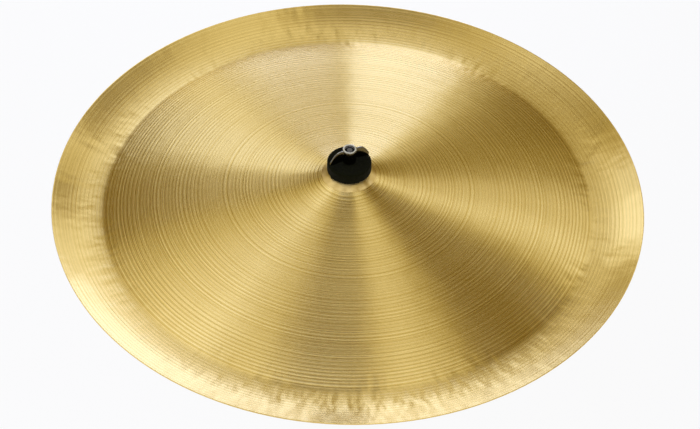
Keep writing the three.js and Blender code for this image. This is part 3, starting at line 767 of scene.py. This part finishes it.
rod_low, rod_high = (corner.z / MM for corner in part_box("tilter_rod"))
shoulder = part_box("sleeve")[0].z / MM - SLEEVE_GAP
rod_body = turned([
    (0, rod_low), (ROD_RADIUS - 0.6, rod_low), (ROD_RADIUS, rod_low + 0.6),
    (ROD_RADIUS, shoulder - COLLAR_TALL - 0.4), (ROD_RADIUS + 0.4, shoulder - COLLAR_TALL),
    (COLLAR_RADIUS - 0.5, shoulder - COLLAR_TALL), (COLLAR_RADIUS, shoulder - COLLAR_TALL + 0.5),
    (COLLAR_RADIUS, shoulder - 0.5), (COLLAR_RADIUS - 0.5, shoulder), (3.2, shoulder),
    (2.5, shoulder + 0.6), (0, shoulder + 0.6)], 64)
rod_end = threaded(radius=3.0, depth=0.55, pitch=1.0, low=shoulder + 0.2, high=rod_high, chamfer=0.7)
finished("rod", "tilter_rod", together(rod_body, rod_end), rod_chrome, "head", sharp=35)
print("shoulder", round(shoulder, 2), "rod top", round(rod_high, 2))

# %% [markdown]
# ## Sleeve and seat
# A flanged nylon sleeve keeps the bronze off the steel, and a dished washer spreads the load under
# the lower felt. Both are turned; their edges are rounded in the outline itself.

# %% Sleeve and seat
SLEEVE_BORE, SLEEVE_RADIUS, FLANGE_RADIUS, FLANGE_TALL = 3.3, 4.75, 9.0, 2.0
SEAT_RADIUS, SEAT_THICK = 18.0, 1.5
SEAT_DISH = ((5.15, 0.0), (9.3, 0.0), (13.0, -0.25), (16.0, -0.75), (17.8, -1.2))

sleeve_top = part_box("sleeve")[1].z / MM
flange = shoulder + SLEEVE_GAP
flange_top = flange + FLANGE_TALL
sleeve_shape = turned([
    (SLEEVE_BORE, flange), (FLANGE_RADIUS - 0.4, flange), (FLANGE_RADIUS, flange + 0.4),
    (FLANGE_RADIUS, flange_top - 0.5), (FLANGE_RADIUS - 0.1, flange_top - 0.2),
    (FLANGE_RADIUS - 0.4, flange_top), (5.4, flange_top), (4.9, flange_top + 0.2),
    (SLEEVE_RADIUS, flange_top + 0.6), (SLEEVE_RADIUS, sleeve_top - 0.6),
    (SLEEVE_RADIUS - 0.2, sleeve_top - 0.2), (4.2, sleeve_top), (3.5, sleeve_top),
    (SLEEVE_BORE, sleeve_top - 0.3)], 64)
finished("nylon_sleeve", "sleeve", sleeve_shape, nylon, "head")

seat_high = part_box("seat_washer")[1].z / MM
seat_under = [(radius, seat_high - SEAT_THICK + drop) for radius, drop in SEAT_DISH]
seat_over = [(radius, seat_high + drop) for radius, drop in SEAT_DISH]
seat_edge = [(SEAT_RADIUS, seat_high - SEAT_THICK - 0.95), (SEAT_RADIUS, seat_high - SEAT_THICK)]
seat_shape = turned(seat_under + seat_edge + seat_over[::-1], 96)
finished("dished_seat", "seat_washer", seat_shape, zinc_plate, "head", sharp=50)

# %% [markdown]
# ## Cast pieces
# The wing nut, the wing bolt, the tongue and the fork are zinc castings. A casting has no seams: its
# blades and bosses flow together. So the shapes are first laid into each other, the holes are cut,
# and a voxel remesh and a few rounds of smoothing melt them into one skin with small fillets. A row
# of a wing's table has shares: how far out it stands, its lower and upper edge, and its thickness.

# %% The casting tool
def temporary(name, bm):
    mesh = bpy.data.meshes.new(name)
    bm.to_mesh(mesh)
    bm.free()
    blank = bpy.data.objects.new(name, mesh)
    bpy.context.scene.collection.objects.link(blank)
    return blank


def cast(shapes, cutters, voxel, rounds):
    blank = temporary("blank", together(*shapes))
    tools = []
    if cutters:
        tools.append(temporary("cutters", together(*cutters)))
        drill = blank.modifiers.new("drill", "BOOLEAN")
        drill.operation, drill.object = "DIFFERENCE", tools[0]
        drill.solver, drill.use_self = "EXACT", True
    skin = blank.modifiers.new("skin", "REMESH")
    skin.mode, skin.voxel_size, skin.adaptivity = "VOXEL", voxel * MM, 0.0
    melt = blank.modifiers.new("melt", "SMOOTH")
    melt.factor, melt.iterations = 0.5, rounds
    ready = blank.evaluated_get(bpy.context.evaluated_depsgraph_get())
    bm = bmesh.new()
    bm.from_mesh(ready.data)
    for thing in [blank, *tools]:
        mesh = thing.data
        bpy.data.objects.remove(thing)
        bpy.data.meshes.remove(mesh)
    bmesh.ops.recalc_face_normals(bm, faces=bm.faces)
    print("casting", len(bm.faces), "faces")
    return bm


# %% Wings
BLADE_SECTIONS, BLADE_SIDES = 34, 28
NUT_WING = (
    (0.10, 0.18, 0.93, 1.00), (0.32, 0.14, 0.97, 1.00), (0.50, 0.10, 0.96, 0.86),
    (0.63, 0.06, 0.92, 0.76), (0.74, 0.04, 0.81, 0.70), (0.84, 0.03, 0.64, 0.66),
    (0.92, 0.04, 0.46, 0.62), (0.975, 0.08, 0.33, 0.54), (1.00, 0.15, 0.25, 0.30))
BOLT_WING = (
    (0.10, 0.10, 0.40, 1.00), (0.30, 0.10, 0.42, 1.00), (0.45, 0.12, 0.56, 0.90),
    (0.60, 0.18, 0.76, 0.85), (0.76, 0.30, 0.93, 0.90), (0.88, 0.42, 0.99, 1.00),
    (0.96, 0.55, 0.96, 0.85), (1.00, 0.68, 0.84, 0.40))


def between(rows, place):
    """A row between the given ones, on a smooth curve; place runs from 0 to 1 along the list."""
    spot = min(place * (len(rows) - 1), len(rows) - 1.0001)
    first = int(spot)
    part = spot - first
    around = [rows[min(max(first + step, 0), len(rows) - 1)] for step in (-1, 0, 1, 2)]
    return [
        0.5 * (2 * b + (c - a) * part + (2 * a - 5 * b + 4 * c - d) * part ** 2
               + (3 * b - a - 3 * c + d) * part ** 3)
        for a, b, c, d in zip(*around)]


def blade(reach, height, thickness, rows):
    bm = bmesh.new()
    hoops = []
    for index in range(BLADE_SECTIONS + 1):
        along, low, high, thick = between(rows, index / BLADE_SECTIONS)
        hoop = bmesh.ops.create_circle(bm, cap_ends=False, segments=BLADE_SIDES, radius=1.0)["verts"]
        wide, tall = thickness * max(thick, 0.05) / 2, height * max(high - low, 0.01) / 2
        middle = height * (low + high) / 2
        for vert in hoop:
            across, up = math.copysign(abs(vert.co.x) ** 0.5, vert.co.x), vert.co.y
            vert.co = (reach * along * MM, across * wide * MM, (middle + up * tall) * MM)
        hoops.append(list({edge for vert in hoop for edge in vert.link_edges}))
    for first, second in zip(hoops, hoops[1:]):
        bmesh.ops.bridge_loops(bm, edges=first + second)
    for hoop in (hoops[0], hoops[-1]):
        bmesh.ops.contextual_create(bm, geom=hoop)
    bmesh.ops.recalc_face_normals(bm, faces=bm.faces)
    return bm


def two_blades(*sizes):
    return [blade(*sizes), moved(blade(*sizes), matrix=Matrix.Rotation(math.pi, 4, "Z"))]


print("wing tools ready")

# %% The wing nut
NUT_TALL, NUT_BORE, NUT_TURN = 13.6, 3.3, math.radians(25)
NUT_FOOT, NUT_RIM = 5.7, 6.05
NUT_REACH, NUT_BLADE = 18.0, 2.2

nut_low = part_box("wing_nut")[0].z / MM
nut_boss = turned([
    (0, 0), (NUT_FOOT - 0.3, 0), (NUT_FOOT, 0.3), (NUT_RIM, NUT_TALL - 0.5),
    (NUT_RIM - 0.05, NUT_TALL - 0.1), (NUT_RIM - 0.25, NUT_TALL), (0, NUT_TALL)], 96)
nut_drill = turned([
    (0, -1), (NUT_BORE, -1), (NUT_BORE, NUT_TALL - 0.9), (NUT_BORE + 1.9, NUT_TALL + 1),
    (0, NUT_TALL + 1)], 96)
nut_wings = two_blades(NUT_REACH, NUT_TALL, NUT_BLADE, NUT_WING)
nut_shape = cast([nut_boss, *nut_wings], [nut_drill], voxel=0.2, rounds=6)
moved(nut_shape, z=nut_low, matrix=Matrix.Rotation(NUT_TURN, 4, "Z"))
finished("wing_nut_casting", "wing_nut", nut_shape, nut_chrome, "wing_nut", sharp=60)

# %% [markdown]
# ## The tilter
# Under the cymbal a round tongue swings in a fork. The tongue carries the rod in a socket, the fork
# sits on the stem, and spring pins cross both sockets. Both castings are drawn about the tilt axis.

# %% The tongue
pivot = next(joint["pos_m"][2] for joint in frame["joints"] if joint["name"] == "tilter_angle") / MM


def block(x_half, y_low_half, y_high_half, z_low, z_high, edge=0.8):
    bm = bmesh.new()
    bmesh.ops.create_cube(bm, size=2)
    for vert in bm.verts:
        half = y_high_half if vert.co.z > 0 else y_low_half
        tall = z_high if vert.co.z > 0 else z_low
        vert.co = (vert.co.x * x_half * MM, vert.co.y * half * MM, tall * MM)
    bmesh.ops.bevel(bm, geom=bm.edges[:], offset=edge * MM, offset_type="OFFSET", affect="EDGES",
                    segments=3, profile=0.5, material=-1)
    return bm


def disc(radius, half, edge=0.8):
    soft = edge * 0.3
    return turned([
        (0, -half), (radius - edge, -half), (radius - soft, soft - half), (radius, edge - half),
        (radius, half - edge), (radius - soft, half - soft), (radius - edge, half), (0, half)], 96)


def drilled(radius, low, high, sideways=False):
    hole = turned([(0, low), (radius, low), (radius, high), (0, high)], 64)
    return moved(hole, matrix=TO_TILT_AXIS) if sideways else hole


DISC_RADIUS, TONGUE_HALF = 13.0, 5.0
AXIS_HOLE, PIN_HOLE = 4.3, 1.65
HEAD_TOP, SOCKET_RADIUS, SOCKET_HOLE, SOCKET_DEEP = 31.5, 8.5, 4.3, 14

tongue_disc = moved(disc(DISC_RADIUS, TONGUE_HALF), matrix=TO_TILT_AXIS)
tongue_neck = block(TONGUE_HALF, 8.4, 8.4, -1.0, 21.0)
tongue_socket = turned([
    (0, 14.0), (TONGUE_HALF, 14.0), (SOCKET_RADIUS - 0.5, 17.0), (SOCKET_RADIUS, 18.0),
    (SOCKET_RADIUS, HEAD_TOP - 0.8), (SOCKET_RADIUS - 0.2, HEAD_TOP - 0.3),
    (SOCKET_RADIUS - 0.8, HEAD_TOP), (0, HEAD_TOP)], 96)
tongue_holes = [
    drilled(AXIS_HOLE, -12, 12, True), drilled(SOCKET_HOLE, HEAD_TOP - SOCKET_DEEP, HEAD_TOP + 2),
    moved(drilled(PIN_HOLE, -14, 14, True), z=HEAD_TOP - SOCKET_DEEP / 2)]
tongue_shape = cast([tongue_disc, tongue_neck, tongue_socket], tongue_holes, voxel=0.3, rounds=6)
moved(tongue_shape, z=pivot)
finished("tongue", "tilter_head", tongue_shape, cast_chrome, "head", sharp=60)

# %% The fork
EAR_IN, EAR_OUT, EAR_EDGE = 6.8, 12.3, 0.9
FORK_RADIUS, STEM_HOLE, STEM_HOLE_DEEP = 12.5, 6.65, 17.6
POCKET_FLATS, POCKET_DEEP = 13.6, 3

fork_low, fork_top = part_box("tilter_base")[0].z / MM - pivot, -14.5
ear_middle, ear_half = (EAR_IN + EAR_OUT) / 2, (EAR_OUT - EAR_IN) / 2
ears = []
for side in (-1, 1):
    ear_disc = moved(disc(DISC_RADIUS, ear_half, EAR_EDGE), matrix=TO_TILT_AXIS)
    ear_arm = block(ear_half, 10.5, 12.8, fork_top - 10.5, 1.0, EAR_EDGE)
    ears += [moved(ear_disc, x=side * ear_middle), moved(ear_arm, x=side * ear_middle)]
fork_boss = turned([
    (0, fork_low), (FORK_RADIUS - 1.2, fork_low), (FORK_RADIUS - 0.4, fork_low + 0.4),
    (FORK_RADIUS, fork_low + 1.2), (FORK_RADIUS, fork_top - 0.8), (FORK_RADIUS - 0.3, fork_top - 0.2),
    (FORK_RADIUS - 0.8, fork_top), (0, fork_top)], 96)
pocket_corner = POCKET_FLATS / math.sqrt(3) * MM
nut_pocket = bmesh.new()
bmesh.ops.create_cone(nut_pocket, cap_ends=True, segments=6, radius1=pocket_corner,
                      radius2=pocket_corner, depth=2 * POCKET_DEEP * MM)
moved(nut_pocket, x=-EAR_OUT, matrix=TO_TILT_AXIS @ Matrix.Rotation(math.radians(30), 4, "Z"))
fork_holes = [
    drilled(STEM_HOLE, fork_low - 2, fork_low + STEM_HOLE_DEEP), drilled(AXIS_HOLE, -16, 16, True),
    nut_pocket, moved(drilled(PIN_HOLE, -16, 16, True), z=fork_low + STEM_HOLE_DEEP / 2)]
fork_shape = cast([fork_boss, *ears], fork_holes, voxel=0.36, rounds=6)
moved(fork_shape, z=pivot)
finished("fork", "tilter_base", fork_shape, cast_chrome, "base", sharp=60)

# %% [markdown]
# ## Stem and spring pins
# The stem is the tube's end that a stand grips. A spring pin is a rolled strip of steel, so it is a
# ring that isn't closed: the spin stops short of a full turn and the two ends are capped.

# %% Stem and spring pins
STEM_RADIUS = 6.35
PIN_BORE, PIN_RADIUS, PIN_TURN = 0.9, 1.5, math.radians(325)


def open_ring(outline, steps, turn, rise=0.0):
    bm = bmesh.new()
    corners = [bm.verts.new((radius * MM, 0, height * MM)) for radius, height in outline]
    start = bm.faces.new(corners)
    bmesh.ops.spin(bm, geom=[start], cent=(0, 0, 0), axis=(0, 0, 1), angle=turn, steps=steps,
                   use_merge=False, dvec=(0, 0, rise * MM / steps))
    bmesh.ops.recalc_face_normals(bm, faces=bm.faces)
    return bm


stem_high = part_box("stem")[1].z / MM
stem_shape = turned([
    (0, 0.0), (5.3, 0.0), (5.7, 0.1), (6.2, 0.55), (STEM_RADIUS, 1.1), (STEM_RADIUS, stem_high - 1.1),
    (6.2, stem_high - 0.5), (5.4, stem_high), (0, stem_high)], 96)
finished("stem_tube", "stem", stem_shape, bright_chrome, "base")


def spring_pin(name, node, body):
    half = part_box(node)[1].x / MM
    centre = sum(corner.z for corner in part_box(node)) / 2 / MM
    strip = [(PIN_BORE, 0.4 - half), (1.15, -half), (PIN_RADIUS, 0.6 - half), (PIN_RADIUS, half - 0.6),
             (1.15, half), (PIN_BORE, half - 0.4)]
    bm = moved(open_ring(strip, 40, PIN_TURN), z=centre, matrix=TO_TILT_AXIS)
    finished(name, node, bm, zinc_plate, body)


spring_pin("pin_in_stem", "stem_pin", "base")
spring_pin("pin_in_rod", "rod_pin", "head")

# %% [markdown]
# ## The clamp on the tilt axis
# A wing bolt squeezes the fork on the tongue through two fibre washers. A split spring washer sits
# under its hub, and its M8 thread ends in a hexagon nut that the far ear keeps from turning. A real
# hexagon nut is a turned, chamfered disc with six flats milled on it, and it is made so here.

# %% Washers
FIBRE_RADIUS, FIBRE_SOFT = 12.0, 0.2
LOCK_BORE, LOCK_RADIUS, LOCK_RISE, LOCK_TURN = 4.4, 7.25, 0.3, math.radians(350)


def fibre_washer(name, node):
    start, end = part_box(node)[0].x / MM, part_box(node)[1].x / MM
    inner = FIBRE_RADIUS - FIBRE_SOFT
    bm = turned([
        (AXIS_HOLE, start), (inner, start), (FIBRE_RADIUS, start + FIBRE_SOFT),
        (FIBRE_RADIUS, end - FIBRE_SOFT), (inner, end), (AXIS_HOLE, end)], 96)
    finished(name, node, moved(bm, z=pivot, matrix=TO_TILT_AXIS), fibre, "base")


fibre_washer("fibre_washer_right", "friction_washer_right")
fibre_washer("fibre_washer_left", "friction_washer_left")
lock_start, lock_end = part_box("lock_washer")[0].x / MM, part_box("lock_washer")[1].x / MM - LOCK_RISE
lock_strip = [(LOCK_BORE, lock_start), (LOCK_RADIUS - 0.15, lock_start), (LOCK_RADIUS, lock_start + 0.15),
              (LOCK_RADIUS, lock_end - 0.15), (LOCK_RADIUS - 0.15, lock_end), (LOCK_BORE, lock_end)]
lock_shape = open_ring(lock_strip, 72, LOCK_TURN, LOCK_RISE)
moved(lock_shape, z=pivot, matrix=TO_TILT_AXIS)
finished("split_washer", "lock_washer", lock_shape, zinc_plate, "base")

# %% The hexagon nut
HEX_FLATS = 13.0

nut_start, nut_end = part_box("bolt_nut")[0].x / MM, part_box("bolt_nut")[1].x / MM
nut_corner = HEX_FLATS / math.sqrt(3)
hexagon = turned([
    (AXIS_HOLE, nut_start + 0.5), (AXIS_HOLE + 0.5, nut_start), (HEX_FLATS / 2 - 0.2, nut_start),
    (nut_corner, nut_start + 0.7), (nut_corner, nut_end - 0.7), (HEX_FLATS / 2 - 0.2, nut_end),
    (AXIS_HOLE + 0.5, nut_end), (AXIS_HOLE, nut_end - 0.5)], 96)
for flat in range(6):
    way = Vector((math.cos(flat * math.pi / 3), math.sin(flat * math.pi / 3), 0))
    cut = bmesh.ops.bisect_plane(
        hexagon, geom=hexagon.verts[:] + hexagon.edges[:] + hexagon.faces[:], dist=1e-7,
        plane_co=way * HEX_FLATS / 2 * MM, plane_no=way, clear_outer=True)
    rim = [item for item in cut["geom_cut"] if isinstance(item, bmesh.types.BMEdge)]
    bmesh.ops.contextual_create(hexagon, geom=rim)
bmesh.ops.recalc_face_normals(hexagon, faces=hexagon.faces)
moved(hexagon, z=pivot, matrix=TO_TILT_AXIS)
finished("hexagon_nut", "bolt_nut", hexagon, zinc_plate, "base", sharp=25)

# %% The wing bolt
BOLT_SEAT, BOLT_RADIUS, HUB_RADIUS = 14.9, 4.0, 7.0
BOLT_REACH, BOLT_WIDE, BOLT_BLADE = 20, 17, 4.0
THREAD_FROM = -4.8
TO_SIDE = Matrix(((0, 0, 1, 0), (0, -1, 0, 0), (1, 0, 0, 0), (0, 0, 0, 1)))

bolt_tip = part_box("wing_bolt")[0].x / MM
bolt_hub = turned([
    (0, BOLT_SEAT), (HUB_RADIUS - 0.6, BOLT_SEAT), (HUB_RADIUS - 0.2, BOLT_SEAT + 0.2),
    (HUB_RADIUS, BOLT_SEAT + 0.6), (HUB_RADIUS, BOLT_SEAT + 4.5), (5.4, BOLT_SEAT + 8.0),
    (4.0, BOLT_SEAT + 9.0), (0, BOLT_SEAT + 9.0)], 96)
bolt_wings = two_blades(BOLT_REACH, BOLT_WIDE, BOLT_BLADE, BOLT_WING)
bolt_blades = [moved(wing, x=BOLT_SEAT, matrix=TO_SIDE) for wing in bolt_wings]
bolt_grip = cast([moved(bolt_hub, matrix=TO_TILT_AXIS), *bolt_blades], [], voxel=0.25, rounds=6)
bolt_shank = drilled(BOLT_RADIUS, THREAD_FROM - 0.2, BOLT_SEAT + 1, True)
bolt_thread = threaded(radius=BOLT_RADIUS, depth=0.7, pitch=1.25, low=bolt_tip, high=THREAD_FROM, chamfer=0.8)
moved(bolt_thread, matrix=TO_TILT_AXIS)
bolt_shape = moved(together(bolt_grip, bolt_shank, bolt_thread), z=pivot)
finished("wing_bolt_casting", "wing_bolt", bolt_shape, cast_chrome, "wing_bolt", sharp=45)

# %% [markdown]
# ## Sizes
# The imported model's box is printed. The visual model has to stay inside the imported model's
# box.

# %% Sizes
print("cad", [round(v, 4) for v in (*cad_low, *cad_high)])
